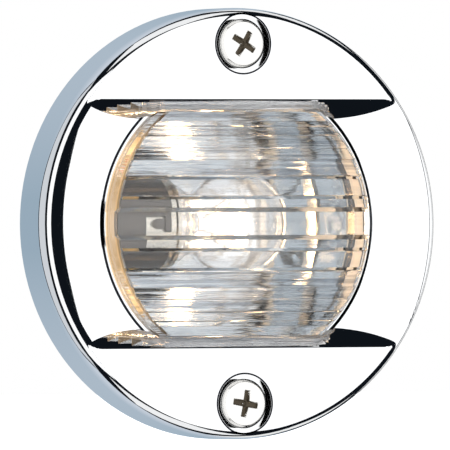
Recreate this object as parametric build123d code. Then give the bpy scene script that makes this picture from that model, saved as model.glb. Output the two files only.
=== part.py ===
from build123d import *
import math
import os

# Flush-mount round navigation light. Millimetres, +Z up, the face looks along -Y.
# y = 0 is the surface that the light is screwed to, and a "level" is a distance
# in front of it, so a level of 5 lies at y = -5. The bulb lies along X.

# ---- cover, the chromed casting ----
COVER_R = 38.1
COVER_WALL = 2.0
COVER_BACK = 0.25
COVER_FRONT = 11.8
COVER_UNDERSIDE = 7.0
RIM_START = 8.2
RIM_SOFT_R = 6.0
RIM_SOFT_DEG = 20.0
CHANNEL_LIP = 9.0
# The channel's dished floor from the window's bead to the rim: (radius, level).
DISH = [(25.8, 9.1), (26.5, 8.75), (31.05, 9.36), (35.5, 10.55), (36.3, 10.87), (37.05, 11.28)]
CHANNEL_FOOT_Z = 18.8
CHANNEL_TOP_Z = 22.1
CHANNEL_BROW_ROUND = 0.9
WINDOW_R = 25.3
WINDOW_Z = 19.75

# ---- lens ----
LENS_R = 25.2
LENS_Z = 19.7
LENS_FRONT = 12.2
LENS_FLANGE_R = 27.9
LENS_FLANGE_BACK = 5.2
LENS_HOLLOW_R = 23.0
LENS_HOLLOW_Z = 17.5
LENS_HOLLOW_TOP = 8.0
# Half of the ribbed front, from the edge to the middle: (z, level).
LENS_RIBS = [
    (19.7, 11.9), (18.1, 12.2), (18.0, 11.3), (17.1, 12.0), (17.05, 11.0), (15.5, 12.2),
    (15.4, 11.0), (13.3, 12.2), (13.2, 11.0), (11.3, 12.1), (11.2, 11.4), (8.5, 11.6),
    (8.3, 12.0), (7.8, 11.6), (5.0, 11.6), (4.8, 12.0), (4.3, 11.6), (2.85, 11.8),
    (2.05, 9.95),
]

# ---- housing and seals ----
GASKET_FRONT = 1.2
FLANGE_FRONT = 3.7
HOUSING_R = 35.6
CUP_R = 28.0
CUP_BORE_R = 26.2
CUP_DEPTH = 17.3
CUP_FLOOR = 15.5
LENS_SEAL_R = 27.9
LENS_SEAL_BORE_R = 26.3
MOUNT_GASKET_R = 35.8
MOUNT_GASKET_BORE_R = 28.7

# ---- mounting screws ----
SCREW_Z = 31.75
SCREW_SHANK_R = 2.1
SCREW_HOLE_R = 2.4
SCREW_HEAD_R = 4.4
SCREW_SEAT = 9.4
SCREW_TOP = 12.4
SCREW_LENGTH = 25.4
SCREW_POINT = 3.2
SCREW_NECK_R = 1.95
SCREW_NECK_END = -0.3
COUNTERBORE_R = 5.15
SCREW_BOSS_R = 3.6

# ---- bulb and bayonet socket, along X at y = BULB_Y ----
BULB_Y = 3.4
GLOBE_X = 4.5
GLOBE_R = 9.5
GLASS_WALL = 0.7
NECK_X = -11.4
BASE_RIM_X = -9.0
BASE_END_X = -18.6
BASE_R = 7.6
BASE_WALL = 0.4
PIN_X = -13.6
PIN_R = 0.95
PIN_TIP_R = 8.75
CONTACT_Z = 3.2
SOCKET_R = 8.35
SOCKET_BORE_R = 7.75
SOCKET_MOUTH_X = -11.2
SOCKET_WALL_X = -23.2
SOCKET_END_X = -23.7
CARRIER_FRONT_X = -20.2
CARRIER_BACK_X = -21.2
PUSH_TRAVEL = 1.2
TWIST_DEG = 20.0
FILAMENT_X = 6.0
FILAMENT_HALF = 3.2
SUPPORT_R = 0.22

# ---- inside the cup ----
REFLECTOR_R = 26.0
REFLECTOR_SHEET = 0.4
REFLECTOR_RIM_Y = 1.0
STUD_X = -12.0
STUD_Z = 15.0
STUD_R = 1.75
STUD_NECK_R = 1.6
STUD_END_Y = 24.5
STUD_HOLE_R = 1.9
STUD_BOSS_R = 3.9
STUD_BOSS_Y = 14.5
NUT_BACK_Y = 20.3
RIVET_X = -13.0
RIVET_Z = 3.6
RIVET_R = 1.1
LEAD_R = 0.6


def turned(*points):
    """Solid of revolution about Y from (radius, level) points."""
    outline = Polyline(*[(r, -level) for r, level in points], close=True)
    return revolve(make_face(outline), Axis.Y)


def turned_x(*points):
    """Solid of revolution about the bulb's axis from (x, radius) points."""
    outline = Polyline(*points, close=True)
    return Pos(0, BULB_Y, 0) * revolve(make_face(outline), Axis.X)


def ring(bore_r, outer_r, back, front):
    """Flat ring about Y between two levels."""
    return turned((bore_r, back), (outer_r, back), (outer_r, front), (bore_r, front))


def post(x, z, radius, back, front):
    """Round bar along Y at (x, z), between two levels."""
    middle = (back + front) / 2
    return Pos(x, -middle, z) * Rot(90, 0, 0) * Cylinder(radius, front - back)


def bar_x(radius, x_low, x_high, y=BULB_Y, z=0.0):
    """Round bar along X."""
    middle = (x_low + x_high) / 2
    return Pos(middle, y, z) * Rot(0, 90, 0) * Cylinder(radius, x_high - x_low)


def block(x_low, x_high, y_low, y_high, z_low, z_high):
    """Box from its limits."""
    centre = Pos((x_low + x_high) / 2, (y_low + y_high) / 2, (z_low + z_high) / 2)
    return centre * Box(x_high - x_low, y_high - y_low, z_high - z_low)


def prism_x(outline, half_length):
    """Prism along X from (z, level) points."""
    face = make_face(Polyline(*[(0, -level, z) for z, level in outline], close=True))
    return extrude(face, half_length, dir=(1, 0, 0), both=True)


def both_screws(make):
    """The same shape at the upper and the lower screw."""
    return make(SCREW_Z) + make(-SCREW_Z)


# ---- cover ----
def rim_point(deg):
    """(radius, level) on the rim's round: 0 degrees at the wall, 90 at the face."""
    turn = math.radians(min(deg, RIM_SOFT_DEG))
    radius = COVER_R - RIM_SOFT_R * (1 - math.cos(turn))
    level = RIM_START + RIM_SOFT_R * math.sin(turn)
    if deg > RIM_SOFT_DEG:
        tight_r = (COVER_FRONT - level) / (1 - math.sin(turn))
        radius -= tight_r * (math.cos(turn) - math.cos(math.radians(deg)))
        level += tight_r * (math.sin(math.radians(deg)) - math.sin(turn))
    return radius, level


def at(point):
    """An outline point in the XY plane from a (radius, level) pair."""
    return point[0], -point[1]


def arc_through(*points):
    return ThreePointArc(*[at(point) for point in points])


def line_to(*points):
    return Line(*[at(point) for point in points])


def cover_disc():
    """Cup-shaped blank with a rounded rim, open at the back."""
    inner_r = COVER_R - COVER_WALL
    face_edge = rim_point(90)
    edge = [
        line_to((0, COVER_UNDERSIDE), (inner_r, COVER_UNDERSIDE)),
        line_to((inner_r, COVER_UNDERSIDE), (inner_r, COVER_BACK)),
        line_to((inner_r, COVER_BACK), (COVER_R, COVER_BACK)),
        line_to((COVER_R, COVER_BACK), (COVER_R, RIM_START)),
        arc_through(rim_point(0), rim_point(RIM_SOFT_DEG / 2), rim_point(RIM_SOFT_DEG)),
        arc_through(rim_point(RIM_SOFT_DEG), rim_point(55), face_edge),
        line_to(face_edge, (0, COVER_FRONT)),
        line_to((0, COVER_FRONT), (0, COVER_UNDERSIDE)),
    ]
    return revolve(make_face(edge), Axis.Y)


def channel_cutter():
    """What the cross channel removes: sloped walls above a floor that dishes up to the rim."""
    slope = (CHANNEL_TOP_Z - CHANNEL_FOOT_Z) / (COVER_FRONT - CHANNEL_LIP)
    low, high = CHANNEL_LIP - 1, COVER_FRONT + 2
    low_z = CHANNEL_FOOT_Z - slope
    high_z = CHANNEL_TOP_Z + 2 * slope
    walls = prism_x([(-low_z, low), (low_z, low), (high_z, high), (-high_z, high)], COVER_R + 3)
    bead, foot, middle, steep, brow, crest = DISH
    outside = (COVER_R + 4, crest[1] + 3)
    dish = [
        line_to((0, bead[1]), bead),
        line_to(bead, foot),
        arc_through(foot, middle, steep),
        arc_through(steep, brow, crest),
        line_to(crest, outside),
        line_to(outside, (outside[0], high + 3)),
        line_to((outside[0], high + 3), (0, high + 3)),
        line_to((0, high + 3), (0, bead[1])),
    ]
    return walls & revolve(make_face(dish), Axis.Y)


def window(radius, half_height, back, front):
    """Round plug with a flat above and a flat below."""
    return post(0, 0, radius, back, front) & block(
        -radius, radius, -front, -back, -half_height, half_height
    )


def brow_edges(body):
    """The two straight edges where the channel's walls meet the face."""
    return [
        edge
        for edge in body.edges().filter_by(GeomType.LINE)
        if abs(edge.center().Y + COVER_FRONT) < 0.01
        and abs(abs(edge.center().Z) - CHANNEL_TOP_Z) < 0.01
    ]


def cover():
    body = cover_disc() - channel_cutter()
    body = fillet(brow_edges(body), CHANNEL_BROW_ROUND)
    body += both_screws(lambda z: post(0, z, SCREW_BOSS_R, FLANGE_FRONT, COVER_UNDERSIDE + 1))
    body -= window(WINDOW_R, WINDOW_Z, 0, COVER_FRONT + 2)
    body -= both_screws(lambda z: post(0, z, COUNTERBORE_R, SCREW_SEAT, COVER_FRONT + 2))
    body -= both_screws(lambda z: post(0, z, SCREW_HOLE_R, 0, COVER_FRONT + 2))
    return body


# ---- lens ----
def lens():
    block_part = window(LENS_R, LENS_Z, COVER_UNDERSIDE - 0.5, LENS_FRONT)
    mirrored = [(-z, level) for z, level in reversed(LENS_RIBS)]
    under = COVER_UNDERSIDE - 1
    edge_z = LENS_RIBS[0][0]
    ribs = prism_x(LENS_RIBS + mirrored + [(-edge_z, under), (edge_z, under)], LENS_R + 1)
    body = block_part & ribs
    body += post(0, 0, LENS_FLANGE_R, LENS_FLANGE_BACK, COVER_UNDERSIDE)
    return body - window(LENS_HOLLOW_R, LENS_HOLLOW_Z, LENS_FLANGE_BACK - 1, LENS_HOLLOW_TOP)


# ---- housing ----
def housing():
    body = turned(
        (0, -CUP_DEPTH), (CUP_R, -CUP_DEPTH), (CUP_R, 0), (MOUNT_GASKET_BORE_R - 0.1, 0),
        (MOUNT_GASKET_BORE_R - 0.1, GASKET_FRONT), (HOUSING_R, GASKET_FRONT),
        (HOUSING_R, FLANGE_FRONT), (CUP_BORE_R, FLANGE_FRONT), (CUP_BORE_R, -CUP_FLOOR),
        (0, -CUP_FLOOR),
    )
    body -= both_screws(lambda z: post(0, z, SCREW_HOLE_R, 0, FLANGE_FRONT + 1))
    for z in (-STUD_Z, STUD_Z):
        body += post(STUD_X, z, STUD_BOSS_R, -CUP_FLOOR - 0.5, -STUD_BOSS_Y)
        body -= post(STUD_X, z, STUD_HOLE_R, -CUP_DEPTH - 1, 0)
    for z in (-RIVET_Z, RIVET_Z):
        body -= post(RIVET_X, z, RIVET_R, -CUP_DEPTH - 1, 0)
    return body


def mounting_gasket():
    body = ring(MOUNT_GASKET_BORE_R, MOUNT_GASKET_R, 0, GASKET_FRONT)
    return body - both_screws(lambda z: post(0, z, SCREW_HOLE_R, -1, GASKET_FRONT + 1))


def lens_gasket():
    return ring(LENS_SEAL_BORE_R, LENS_SEAL_R, FLANGE_FRONT, LENS_FLANGE_BACK)


def reflector():
    """Pressed pan that lines the cup, with clearance round the terminal bosses."""
    back = -CUP_FLOOR
    front = -CUP_FLOOR + REFLECTOR_SHEET
    bore = REFLECTOR_R - REFLECTOR_SHEET
    pan = turned(
        (0, back), (REFLECTOR_R - 1.5, back), (REFLECTOR_R, back + 1.5),
        (REFLECTOR_R, -REFLECTOR_RIM_Y), (bore, -REFLECTOR_RIM_Y), (bore, back + 1.7),
        (REFLECTOR_R - 1.7, front), (0, front),
    )
    for z in (-STUD_Z, STUD_Z):
        pan -= post(STUD_X, z, STUD_BOSS_R + 0.3, -CUP_FLOOR - 1, -CUP_FLOOR + 2)
    for z in (-RIVET_Z, RIVET_Z):
        pan -= post(RIVET_X, z, RIVET_R, -CUP_FLOOR - 1, -CUP_FLOOR + 2)
    return pan


# ---- socket ----
def sector_x(x_low, x_high, r_low, r_high, start_deg, sweep_deg):
    """Part of a ring about the bulb's axis; 0 degrees faces +Y and it turns towards +Z."""
    outline = Polyline((x_low, r_low), (x_high, r_low), (x_high, r_high), (x_low, r_high), close=True)
    wedge = revolve(make_face(outline), Axis.X, sweep_deg)
    return Pos(0, BULB_Y, 0) * Rot(start_deg, 0, 0) * wedge


def bayonet_slot(facing_deg):
    """Way in from the mouth and the leg across, for one pin."""
    pin_half_deg = math.degrees((PIN_R + 0.35) / SOCKET_BORE_R)
    low_x = PIN_X - PUSH_TRAVEL - PIN_R - 0.35
    high_x = PIN_X + PIN_R + 0.35
    r_low, r_high = SOCKET_BORE_R - 0.6, SOCKET_R + 0.6
    start = facing_deg - pin_half_deg
    leg = sector_x(low_x, high_x, r_low, r_high, start, TWIST_DEG + 2 * pin_half_deg)
    way_in = sector_x(low_x, SOCKET_MOUTH_X + 1, r_low, r_high, start + TWIST_DEG, 2 * pin_half_deg)
    return leg + way_in


def socket_shell():
    shell = turned_x(
        (SOCKET_MOUTH_X, SOCKET_BORE_R), (SOCKET_MOUTH_X, SOCKET_R), (SOCKET_END_X, SOCKET_R),
        (SOCKET_END_X, 0), (SOCKET_WALL_X, 0), (SOCKET_WALL_X, SOCKET_BORE_R),
    )
    for facing in (0, 180):
        shell -= bayonet_slot(facing)
    for z in (-CONTACT_Z, CONTACT_Z):
        shell -= block(SOCKET_WALL_X, CARRIER_BACK_X + 0.3, BULB_Y + 2, BULB_Y + 10, z - 1.1, z + 1.1)
    return shell


def socket_bracket():
    """Bent strap: an upright with a saddle for the shell, and a foot on the reflector."""
    foot_back = CUP_FLOOR - REFLECTOR_SHEET
    foot_front = foot_back - 0.8
    upright = block(-19.4, -18.4, 5.0, foot_back, -6, 6) - bar_x(SOCKET_R, -25, -10)
    strap = upright + block(-19.4, -10.2, foot_front, foot_back, -6, 6)
    for z in (-RIVET_Z, RIVET_Z):
        strap -= post(RIVET_X, z, RIVET_R, -CUP_DEPTH, 0)
    return strap


def bracket_rivets():
    """Two domed rivets through the strap, the reflector and the housing floor."""
    strap_front = CUP_FLOOR - REFLECTOR_SHEET - 0.8
    rivets = []
    for z in (-RIVET_Z, RIVET_Z):
        rivet = post(RIVET_X, z, RIVET_R, -CUP_DEPTH - 0.6, -strap_front + 0.7)
        rivet += post(RIVET_X, z, 2.0, -strap_front, -strap_front + 0.7)
        rivet += post(RIVET_X, z, 2.0, -CUP_DEPTH - 0.6, -CUP_DEPTH)
        rivets.append(rivet)
    return Compound(rivets)


def contact_carrier():
    disc = bar_x(SOCKET_BORE_R - 0.35, CARRIER_BACK_X, CARRIER_FRONT_X)
    for z in (-CONTACT_Z, CONTACT_Z):
        disc -= bar_x(0.8, CARRIER_BACK_X - 1, CARRIER_FRONT_X + 1, z=z)
    return disc


def contact_tips():
    """Headed contacts whose tails pass through the carrier."""
    tips = []
    for z in (-CONTACT_Z, CONTACT_Z):
        tip = bar_x(1.3, CARRIER_FRONT_X, CARRIER_FRONT_X + 0.5, z=z)
        tips.append(tip + bar_x(0.8, CARRIER_BACK_X, CARRIER_FRONT_X + 0.2, z=z))
    return Compound(tips)


def contact_spring():
    """Short compression coil between the carrier and the socket's end wall."""
    wire_r, mean_r = 0.22, 1.9
    length = CARRIER_BACK_X - SOCKET_WALL_X - 2 * wire_r
    path = Helix(pitch=length / 2.5, height=length, radius=mean_r)
    section = Plane(origin=path @ 0, z_dir=path % 0) * Circle(wire_r)
    coil = sweep(section, path=path, is_frenet=True)
    return Pos(SOCKET_WALL_X + wire_r, BULB_Y, 0) * Rot(0, 90, 0) * coil


# ---- bulb ----
def globe_profile(radius, waist_r, neck_r):
    """Edges of the globe's outline, from its tip on the axis to the end of the neck."""
    join_deg = 143.0
    join = math.radians(join_deg)
    half = join / 2
    tip = (GLOBE_X + radius, 0)
    middle = (GLOBE_X + radius * math.cos(half), radius * math.sin(half))
    end = (GLOBE_X + radius * math.cos(join), radius * math.sin(join))
    tangent = (-math.sin(join), math.cos(join))
    waist = (-5.6, waist_r)
    neck = (BASE_RIM_X + 0.2, neck_r)
    flare = Spline(end, waist, neck, tangents=[tangent, (-1, 0)])
    return [ThreePointArc(tip, middle, end), flare, Line(neck, (NECK_X, neck_r))]


def bulb_glass():
    outer_r, neck_r = GLOBE_R, BASE_R - BASE_WALL
    outer = globe_profile(outer_r, 5.75, neck_r)
    inner = globe_profile(outer_r - GLASS_WALL, 5.05, neck_r - GLASS_WALL)
    rim = Line((NECK_X, neck_r), (NECK_X, neck_r - GLASS_WALL))
    nose = Line((GLOBE_X + outer_r - GLASS_WALL, 0), (GLOBE_X + outer_r, 0))
    return Pos(0, BULB_Y, 0) * revolve(make_face(outer + inner + [rim, nose]), Axis.X)


def bulb_base():
    bore = BASE_R - BASE_WALL
    can = turned_x(
        (BASE_RIM_X, bore), (BASE_RIM_X, BASE_R + 0.4), (BASE_RIM_X - 0.7, BASE_R + 0.4),
        (BASE_RIM_X - 0.9, BASE_R), (BASE_END_X, BASE_R), (BASE_END_X, bore),
    )
    return can - pin_bars(bore - 1, BASE_R + 1)


def pin_bars(inner_r, outer_r):
    """Bars along Y at the two bayonet pins' places."""
    bars = []
    for side in (-1, 1):
        middle = BULB_Y + side * (inner_r + outer_r) / 2
        bars.append(Pos(PIN_X, middle, 0) * Rot(90, 0, 0) * Cylinder(PIN_R, outer_r - inner_r))
    return Compound(bars)


def bulb_pins():
    return pin_bars(BASE_R - BASE_WALL - 0.3, PIN_TIP_R)


def bulb_insulator():
    bore = BASE_R - BASE_WALL
    return turned_x(
        (BASE_END_X + 1.6, 0), (BASE_END_X + 1.6, bore), (BASE_END_X, bore),
        (BASE_END_X - 0.6, bore - 0.8), (BASE_END_X - 0.6, 0),
    )


def bulb_contacts():
    face = BASE_END_X - 0.6
    return Compound([bar_x(1.1, face - 0.5, face, z=z) for z in (-CONTACT_Z, CONTACT_Z)])


def bulb_stem():
    """Pressed glass stem, sealed to the neck's end."""
    seal_r = BASE_R - BASE_WALL - GLASS_WALL
    return turned_x(
        (NECK_X, 0), (NECK_X, seal_r), (NECK_X + 0.8, seal_r), (NECK_X + 1.8, 2.6), (-4.0, 2.0),
        (-3.0, 1.6), (-3.0, 0),
    )


def filament_supports():
    """Two bowed wires from the stem's tip to the filament's ends."""
    wires = []
    for side in (-1, 1):
        z0, z1 = 1.0 * side, FILAMENT_HALF * side
        route = [(-3.0, BULB_Y, z0), (-1.0, BULB_Y, z0), (3.5, BULB_Y, z1), (FILAMENT_X + 0.4, BULB_Y, z1)]
        path = FilletPolyline(*route, radius=1.6)
        section = Plane(origin=route[0], z_dir=(1, 0, 0)) * Circle(SUPPORT_R)
        wires.append(sweep(section, path=path))
    return Compound(wires)


def filament():
    between_supports = 2 * (FILAMENT_HALF - SUPPORT_R)
    return Pos(FILAMENT_X, BULB_Y, 0) * Cylinder(0.32, between_supports)


# ---- terminals and leads ----
def at_studs(make):
    """One piece at each terminal, as separate solids."""
    return Compound([make(-STUD_Z), make(STUD_Z)])


def terminal_studs():
    head_back = -STUD_BOSS_Y + 0.6
    return at_studs(
        lambda z: post(STUD_X, z, STUD_R, -STUD_END_Y, -NUT_BACK_Y - 0.2)
        + post(STUD_X, z, STUD_NECK_R, -STUD_END_Y + 1, head_back + 0.2)
        + post(STUD_X, z, 3.0, head_back, head_back + 1.7)
    )


def terminal_washers():
    return at_studs(
        lambda z: post(STUD_X, z, 3.9, -CUP_DEPTH - 0.7, -CUP_DEPTH)
        - post(STUD_X, z, STUD_NECK_R, -CUP_DEPTH - 2, 0)
    )


def terminal_nuts():
    nut_front = CUP_DEPTH + 0.7
    return at_studs(
        lambda z: Pos(STUD_X, (nut_front + NUT_BACK_Y) / 2, z)
        * Rot(90, 0, 0)
        * extrude(RegularPolygon(4.0, 6), (NUT_BACK_Y - nut_front) / 2, both=True)
        - post(STUD_X, z, STUD_NECK_R, -NUT_BACK_Y - 1, 0)
    )


def lead_lugs():
    """Ring lugs under the stud heads, with a short crimp towards the socket."""
    back = -STUD_BOSS_Y

    def lug(z):
        side = math.copysign(1, z)
        plate = post(STUD_X, z, 2.9, back, back + 0.6)
        tongue = block(
            STUD_X - 1.1, STUD_X + 1.1, STUD_BOSS_Y - 0.6, STUD_BOSS_Y,
            min(z, z - 5.2 * side), max(z, z - 5.2 * side),
        )
        return plate + tongue - post(STUD_X, z, STUD_NECK_R, back - 1, back + 2)

    return at_studs(lug)


def lead(side):
    """Insulated wire from a contact's tail, out of the shell's side and down to its lug."""
    z0 = CONTACT_Z * side
    wire_y = STUD_BOSS_Y - 0.6 - LEAD_R
    end_z = (STUD_Z - 4.3) * side
    route = [
        (CARRIER_BACK_X, BULB_Y, z0),
        (CARRIER_BACK_X - 1.2, BULB_Y, z0),
        (CARRIER_BACK_X - 1.2, wire_y - 2.4, z0),
        (CARRIER_BACK_X + 0.6, wire_y, z0 + 5.5 * side),
        (STUD_X, wire_y, end_z - 1.2 * side),
        (STUD_X, wire_y, end_z + 0.8 * side),
    ]
    path = FilletPolyline(*route, radius=[1.0, 1.6, 1.6, 1.0])
    section = Plane(origin=route[0], z_dir=(-1, 0, 0)) * Circle(LEAD_R)
    return sweep(section, path=path)


def lead_positive():
    return lead(1)


def lead_negative():
    return lead(-1)


# ---- screws ----
def mounting_screw(z, cross_deg):
    """Oval-head screw with a cross recess; its thread is left plain here."""
    tip = SCREW_SEAT - SCREW_LENGTH
    body = Pos(0, 0, z) * turned(
        (0, tip), (SCREW_SHANK_R, tip + SCREW_POINT), (SCREW_SHANK_R, SCREW_NECK_END),
        (SCREW_NECK_R, SCREW_NECK_END), (SCREW_NECK_R, SCREW_SEAT),
        (SCREW_HEAD_R, SCREW_SEAT), (SCREW_HEAD_R, SCREW_TOP - 1.2),
        (SCREW_HEAD_R - 0.7, SCREW_TOP - 0.3), (SCREW_HEAD_R - 2.2, SCREW_TOP), (0, SCREW_TOP),
    )
    arm = Box(4.4, 2.4, 1.1)
    cross = arm + Rot(0, 90, 0) * arm
    return body - Pos(0, -SCREW_TOP, z) * Rot(0, cross_deg, 0) * cross


def screw_top():
    return mounting_screw(SCREW_Z, 32)


def screw_bottom():
    return mounting_screw(-SCREW_Z, 10)


NODES = [
    cover, lens, housing, mounting_gasket, lens_gasket, reflector, socket_shell, socket_bracket,
    bracket_rivets, contact_carrier, contact_tips, contact_spring, bulb_glass, bulb_base,
    bulb_pins, bulb_insulator, bulb_contacts, bulb_stem, filament_supports, filament,
    terminal_studs, terminal_washers, terminal_nuts, lead_lugs, lead_positive, lead_negative,
    screw_top, screw_bottom,
]

os.makedirs("parts", exist_ok=True)
for make in NODES:
    export_step(make(), f"parts/{make.__name__}.step")
    print(make.__name__)
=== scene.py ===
# %% [markdown]
# # A flush-mount stern light, ready to light
#
# The light is a chromed casting over a ribbed clear lens, with a small globe bulb lying across a
# white cup behind it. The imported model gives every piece's size and place, so this lesson
# only adds looks: meshes where a plain solid is too simple, and a finish for each surface.

import math

import bmesh
import bpy
from mathutils import Matrix, Vector


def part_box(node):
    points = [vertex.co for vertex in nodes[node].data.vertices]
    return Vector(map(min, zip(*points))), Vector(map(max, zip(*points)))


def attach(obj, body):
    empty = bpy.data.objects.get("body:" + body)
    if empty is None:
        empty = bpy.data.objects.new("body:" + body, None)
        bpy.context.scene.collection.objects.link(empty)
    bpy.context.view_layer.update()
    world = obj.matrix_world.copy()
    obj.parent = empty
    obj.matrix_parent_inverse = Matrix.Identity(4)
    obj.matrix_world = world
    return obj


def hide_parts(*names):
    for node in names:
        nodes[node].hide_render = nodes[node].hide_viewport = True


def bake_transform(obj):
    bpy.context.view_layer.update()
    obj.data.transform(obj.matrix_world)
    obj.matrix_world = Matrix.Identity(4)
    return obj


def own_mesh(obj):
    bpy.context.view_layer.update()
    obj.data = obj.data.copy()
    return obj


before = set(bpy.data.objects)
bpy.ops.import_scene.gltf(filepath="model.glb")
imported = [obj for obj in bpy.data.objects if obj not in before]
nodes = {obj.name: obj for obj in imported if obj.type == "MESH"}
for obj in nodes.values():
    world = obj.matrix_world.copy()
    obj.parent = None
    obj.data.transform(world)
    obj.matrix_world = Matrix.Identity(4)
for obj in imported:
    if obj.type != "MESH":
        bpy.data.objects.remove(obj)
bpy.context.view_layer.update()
MM = 0.001

# %% [markdown]
# ## Where the pieces are
#
# +Z is up, the face looks along -Y and the bulb lies along X. A piece could be placed by typing
# its numbers again, but then a change of size would leave it behind. So places come from the
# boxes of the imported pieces, in millimetres.


# %% Sizes read from the frame
LENS_BORDER = 3.5  # from the widest part of the lens in to the ends of its prisms


def low_high(node):
    """A node's lowest and highest corners in millimetres."""
    low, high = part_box(node)
    return low / MM, high / MM


cover_low = low_high("cover")[0]
lens_low, lens_high = low_high("lens")
rib_end_r = (lens_high.x - lens_low.x) / 2 - LENS_BORDER
print("prisms end at radius", round(rib_end_r, 2), "mm")

# %% [markdown]
# ## The camera
#
# The light is seen a little from its left. A near camera would bend its rings into egg shapes, so
# this one stands far away with a long lens, and they stay close to true ellipses. It looks at a
# point near the middle of the cup.

# %% Camera
CAMERA_AZIMUTH = -24.7
CAMERA_ELEVATION = -0.2
CAMERA_ROLL = -0.27
CAMERA_DISTANCE = 2.5
FRAME_HEIGHT = 0.0797
AIM_RIGHT, AIM_UP = 1.58, -0.20
SENSOR_WIDTH = 36


def direction(azimuth, elevation):
    """Unit vector towards a place round the light: azimuth 0 is in front, 90 is +X."""
    a, e = math.radians(azimuth), math.radians(elevation)
    return Vector((math.sin(a) * math.cos(e), -math.cos(a) * math.cos(e), math.sin(e)))


def facing(place, target):
    """Rotation that turns an object's -Z from place towards target, with +Z of the world up."""
    return (target - place).to_track_quat("-Z", "Y")


azimuth = math.radians(CAMERA_AZIMUTH)
right = Vector((math.cos(azimuth), math.sin(azimuth), 0))
target = right * AIM_RIGHT * MM + Vector((0, 0, AIM_UP * MM))
camera = bpy.data.objects.new("camera", bpy.data.cameras.new("camera"))
bpy.context.scene.collection.objects.link(camera)
camera.data.sensor_width = SENSOR_WIDTH
camera.data.lens = SENSOR_WIDTH * CAMERA_DISTANCE / FRAME_HEIGHT
camera.data.clip_end = 20
camera.location = target + direction(CAMERA_AZIMUTH, CAMERA_ELEVATION) * CAMERA_DISTANCE
roll = Matrix.Rotation(math.radians(CAMERA_ROLL), 3, "Z").to_quaternion()
camera.rotation_euler = (facing(camera.location, target) @ roll).to_euler()
bpy.context.scene.camera = camera
print("focal length", round(camera.data.lens), "mm")

# %% [markdown]
# ## The studio
#
# Chrome has hardly any colour of its own: it shows what stands around it. A bright sky would make
# it flat and white, so the studio is a few large white soft boxes with dark gaps between them.
# The gaps draw the dark lines along every rounded edge, as in a maker's catalogue.


# %% Soft boxes
STUDIO_RADIUS = 1.30
WHITE = (1, 1, 1)
COOL_WHITE = (0.93, 0.96, 1.0)


def soft_box(name, azimuth, elevation, width, height, radiance, colour=WHITE):
    """A rectangular lamp that looks at the light. Its brightness is its radiance."""
    lamp = bpy.data.lights.new(name, "AREA")
    lamp.shape = "RECTANGLE"
    lamp.size, lamp.size_y = width, height
    lamp.energy = math.pi * width * height * radiance
    lamp.color = colour
    box = bpy.data.objects.new(name, lamp)
    box.location = direction(azimuth, elevation) * STUDIO_RADIUS
    box.rotation_euler = facing(box.location, Vector((0, 0, 0))).to_euler()
    box.visible_camera = False
    bpy.context.scene.collection.objects.link(box)
    return box


# name, azimuth and elevation in degrees, width and height in metres, radiance
soft_boxes = [
    soft_box("front_box", 13.5, 0, 2.38, 4.00, 1.25),
    soft_box("left_box", -61, 0, 1.55, 4.00, 1.15),
    soft_box("left_edge_box", -132, 0, 0.62, 3.50, 0.72, COOL_WHITE),
    soft_box("right_edge_box", 121, 0, 0.36, 1.30, 0.90),
    soft_box("top_box", -26, 88, 0.95, 0.95, 0.95),
    soft_box("under_box", -26, -88, 0.95, 0.95, 0.95),
    soft_box("high_back_box", 125, 46, 1.00, 0.42, 0.90),
    soft_box("low_back_box", 125, -46, 1.00, 0.42, 0.90),
]
print("soft boxes", len(soft_boxes))

# %% [markdown]
# ### The blue-grey card
#
# The light's left wall looks back past the object at a cool card that gets paler up and down.
# A lamp has one colour all over, so this is a real card whose glow has a gradient. The camera
# doesn't see it.


# %% Mesh and material helpers
def new_material(name):
    """An empty node material, with its tree and its output node."""
    material = bpy.data.materials.new(name)
    material.use_nodes = True
    tree = material.node_tree
    tree.nodes.clear()
    output = tree.nodes.new("ShaderNodeOutputMaterial")
    return material, tree, output


def new_mesh(name, vertices, faces, smooth=True):
    """A mesh object from points in millimetres."""
    mesh = bpy.data.meshes.new(name)
    mesh.from_pydata([Vector(v) * MM for v in vertices], [], faces)
    mesh.validate()
    piece = bpy.data.objects.new(name, mesh)
    bpy.context.scene.collection.objects.link(piece)
    if smooth:
        mesh.polygons.foreach_set("use_smooth", [True] * len(mesh.polygons))
    return piece


def flat_square(name, half_side):
    """A flat square that faces +Z, with that half side in millimetres."""
    h = half_side
    return new_mesh(name, [(-h, -h, 0), (h, -h, 0), (h, h, 0), (-h, h, 0)], [(0, 1, 2, 3)], False)


# %% Cool card
def glow_card(name, azimuth, width, height, low_colour, high_colour):
    """An upright card whose glow runs from one colour at its middle to another at its ends."""
    card = flat_square(name, 1)
    card.scale = (width / 2 / MM, height / 2 / MM, 1)
    card.location = direction(azimuth, 0) * STUDIO_RADIUS
    card.rotation_euler = facing(card.location, Vector((0, 0, 0))).to_euler()
    card.visible_camera = False
    material, tree, output = new_material(name)
    place = tree.nodes.new("ShaderNodeTexCoord")
    split = tree.nodes.new("ShaderNodeSeparateXYZ")
    # Fold the height at the middle, so the ramp runs from an end (0) to the middle (0.5).
    away = tree.nodes.new("ShaderNodeMath")
    away.operation = "PINGPONG"
    away.inputs[1].default_value = 0.5
    ramp = tree.nodes.new("ShaderNodeValToRGB")
    ramp.color_ramp.elements[0].position = 0.10
    ramp.color_ramp.elements[0].color = (*high_colour, 1)
    ramp.color_ramp.elements[1].position = 0.46
    ramp.color_ramp.elements[1].color = (*low_colour, 1)
    glow = tree.nodes.new("ShaderNodeEmission")
    tree.links.new(place.outputs["Generated"], split.inputs[0])
    tree.links.new(split.outputs["Y"], away.inputs[0])
    tree.links.new(away.outputs[0], ramp.inputs[0])
    tree.links.new(ramp.outputs[0], glow.inputs["Color"])
    tree.links.new(glow.outputs[0], output.inputs["Surface"])
    card.data.materials.append(material)
    return card


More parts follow.
